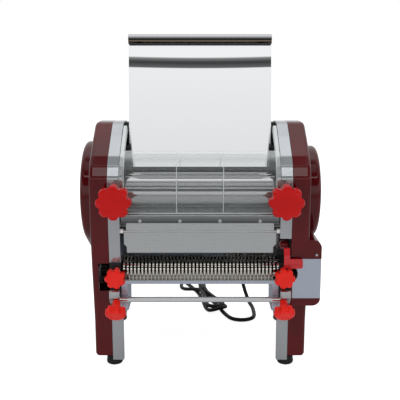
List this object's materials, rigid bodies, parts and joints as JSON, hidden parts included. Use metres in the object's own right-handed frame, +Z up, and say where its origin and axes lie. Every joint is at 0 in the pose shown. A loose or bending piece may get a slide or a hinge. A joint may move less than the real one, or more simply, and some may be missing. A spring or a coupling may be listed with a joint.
{
  "type": "electric pasta maker",
  "caption": "Electric dough sheeter with a noodle cutter below: two smooth rollers with screw gap setting, feed tray, clear guard, belt drive and clutch lever",
  "frame": {"origin": "centre of the base, on the floor under the middle of the machine's outline without its cord", "axes": "+Z up, front with the knobs towards -Y, +X to the right of someone who faces the front"},
  "size_m": [0.366, 0.5839, 0.5001],
  "materials": {
    "cast_grey": "satin grey painted casting",
    "wine_paint": "glossy dark wine enamel",
    "panel_blue": "silver-blue brushed panel",
    "dark_sheet": "dark painted sheet",
    "bare_steel": "turned and ground steel",
    "polished": "mirror polished stainless steel",
    "satin_steel": "satin stainless sheet",
    "gear_steel": "greased cut steel",
    "knob_red": "glossy red plastic",
    "lever_red": "red powder coat",
    "clear": "clear acrylic sheet",
    "black_rubber": "matt black rubber",
    "black_plastic": "black plastic",
    "white_plastic": "white nylon",
    "iron": "dark cast iron",
    "motor_paint": "grey-blue motor enamel",
    "alloy": "bare aluminium",
    "zinc": "zinc plated steel"
  },
  "bodies": {
    "frame": {"side_frame_left": "cast_grey", "side_frame_right": "cast_grey", "cover_left": "wine_paint", "cover_right": "wine_paint", "control_panel": "panel_blue", "rear_cover": "dark_sheet", "tie_rods": "bare_steel", "rubber_feet": "black_rubber", "cover_screws": "zinc", "shaft_bushes": "bare_steel", "drive_belt": "black_rubber", "motor_body": "motor_paint", "motor_plate": "iron", "capacitor": "alloy", "cutter_blocks": "alloy", "combs": "bare_steel", "comb_frame": "panel_blue", "gear_bracket": "iron", "clamp_brackets": "zinc", "front_tie_bar": "polished", "guard_shield": "clear", "guard_rails": "satin_steel", "tray_guides": "black_plastic", "rear_scraper": "satin_steel", "chute_caps": "white_plastic", "switch_body": "black_plastic", "cord_gland": "black_rubber", "power_cord": "black_rubber", "cord_hank": "black_rubber", "power_plug": "black_plastic"},
    "front_roller": {"front_roller": "polished", "front_roller_gear": "gear_steel"},
    "rear_roller": {"rear_roller": "polished", "rear_roller_gear": "gear_steel", "drive_gear": "gear_steel", "cutter_drive_gear": "gear_steel"},
    "gap_carriage": {"bearing_blocks": "alloy", "front_scraper": "satin_steel", "scraper_screws": "zinc"},
    "countershaft": {"pinion_shaft": "gear_steel", "large_pulley": "iron"},
    "motor_rotor": {"motor_shaft": "bare_steel", "motor_pulley": "iron"},
    "idler": {"idler_gear": "gear_steel"},
    "fork": {"clutch_fork": "zinc"},
    "clutch": {"clutch_gear": "gear_steel"},
    "cutter_front": {"cutter_roll_front": "bare_steel"},
    "cutter_rear": {"cutter_roll_rear": "bare_steel"},
    "lever": {"clutch_lever": "lever_red"},
    "gap_knob_left": {"gap_knob_left": "knob_red", "gap_screw_left": "zinc"},
    "gap_knob_right": {"gap_knob_right": "knob_red", "gap_screw_right": "zinc"},
    "clamp_left": {"clamp_knob_left": "knob_red"},
    "clamp_right": {"clamp_knob_right": "knob_red"},
    "lower_clamp_left": {"lower_knob_left": "knob_red"},
    "lower_clamp_right": {"lower_knob_right": "knob_red"},
    "tray": {"feed_tray": "polished"},
    "chute": {"chute_flap": "satin_steel"},
    "rocker": {"switch_rocker": "black_plastic"}
  },
  "joints": [
    {"name": "rear_roller_spin", "type": "hinge", "parent": "frame", "child": "rear_roller", "pos_m": [0, -0.0024, 0.265], "axis": [1, 0, 0], "continuous": true},
    {"name": "gap_knob_turn", "type": "hinge", "parent": "frame", "child": "gap_knob_left", "pos_m": [-0.121, -0.123, 0.265], "axis": [0, 1, 0], "range_deg": [0, 720]},
    {"name": "gap_knob_right_turn", "type": "hinge", "parent": "frame", "child": "gap_knob_right", "pos_m": [0.121, -0.123, 0.265], "axis": [0, 1, 0], "range_deg": [0, 720]},
    {"name": "gap_slide", "type": "slide", "parent": "frame", "child": "gap_carriage", "axis": [0, -1, 0], "range_m": [0, 0.003]},
    {"name": "front_roller_spin", "type": "hinge", "parent": "gap_carriage", "child": "front_roller", "pos_m": [0, -0.059, 0.265], "axis": [1, 0, 0], "continuous": true},
    {"name": "countershaft_spin", "type": "hinge", "parent": "frame", "child": "countershaft", "pos_m": [-0.15, 0.03164, 0.25241], "axis": [1, 0, 0], "continuous": true},
    {"name": "motor_spin", "type": "hinge", "parent": "frame", "child": "motor_rotor", "pos_m": [-0.15, 0.0795, 0.17], "axis": [1, 0, 0], "continuous": true},
    {"name": "idler_spin", "type": "hinge", "parent": "frame", "child": "idler", "pos_m": [0.15, -0.04573, 0.20526], "axis": [1, 0, 0], "continuous": true},
    {"name": "clutch_lift", "type": "hinge", "parent": "frame", "child": "lever", "pos_m": [0.13, -0.069, 0.188], "axis": [-1, 0, 0], "range_deg": [0, 14]},
    {"name": "fork_slide", "type": "slide", "parent": "frame", "child": "fork", "axis": [1, 0, 0], "range_m": [0, 0.0035]},
    {"name": "clutch_spin", "type": "hinge", "parent": "fork", "child": "clutch", "pos_m": [0.145, -0.056, 0.155], "axis": [1, 0, 0], "continuous": true},
    {"name": "cutter_rear_spin", "type": "hinge", "parent": "frame", "child": "cutter_rear", "pos_m": [0, -0.056, 0.155], "axis": [1, 0, 0], "continuous": true},
    {"name": "cutter_front_spin", "type": "hinge", "parent": "frame", "child": "cutter_front", "pos_m": [0, -0.083, 0.155], "axis": [1, 0, 0], "continuous": true},
    {"name": "clamp_left_turn", "type": "hinge", "parent": "frame", "child": "clamp_left", "pos_m": [-0.1226, -0.113, 0.1506], "axis": [0, 1, 0], "range_deg": [0, 360]},
    {"name": "clamp_right_turn", "type": "hinge", "parent": "frame", "child": "clamp_right", "pos_m": [0.1226, -0.113, 0.1506], "axis": [0, 1, 0], "range_deg": [0, 360]},
    {"name": "lower_clamp_left_turn", "type": "hinge", "parent": "frame", "child": "lower_clamp_left", "pos_m": [-0.1226, -0.10798, 0.11254], "axis": [0, 0.7431, 0.6691], "range_deg": [0, 360]},
    {"name": "lower_clamp_right_turn", "type": "hinge", "parent": "frame", "child": "lower_clamp_right", "pos_m": [0.1226, -0.10798, 0.11254], "axis": [0, 0.7431, 0.6691], "range_deg": [0, 360]},
    {"name": "tray_lift", "type": "slide", "parent": "frame", "child": "tray", "axis": [0, 0.1564, 0.9877], "range_m": [0, 0.06]},
    {"name": "chute_swing", "type": "hinge", "parent": "frame", "child": "chute", "pos_m": [0, -0.097, 0.216], "axis": [-1, 0, 0], "range_deg": [0, 60]},
    {"name": "switch_press", "type": "hinge", "parent": "frame", "child": "rocker", "pos_m": [0.1755, -0.051, 0.15], "axis": [0, -1, 0], "range_deg": [0, 18]}
  ],
  "couplings": [
    {"joint": "gap_knob_turn", "follows": "gap_slide", "rad_per_m": 4188.8},
    {"joint": "gap_knob_right_turn", "follows": "gap_slide", "rad_per_m": 4188.8},
    {"joint": "front_roller_spin", "follows": "rear_roller_spin", "ratio": -1},
    {"joint": "countershaft_spin", "follows": "rear_roller_spin", "ratio": -2.4286},
    {"joint": "motor_spin", "follows": "rear_roller_spin", "ratio": -8.4361},
    {"joint": "idler_spin", "follows": "rear_roller_spin", "ratio": -0.96},
    {"joint": "clutch_spin", "follows": "rear_roller_spin", "ratio": 2.6667},
    {"joint": "cutter_rear_spin", "follows": "rear_roller_spin", "ratio": 2.6667},
    {"joint": "cutter_front_spin", "follows": "rear_roller_spin", "ratio": -2.6667},
    {"joint": "fork_slide", "follows": "clutch_lift", "m_per_rad": 0.014323}
  ]
}
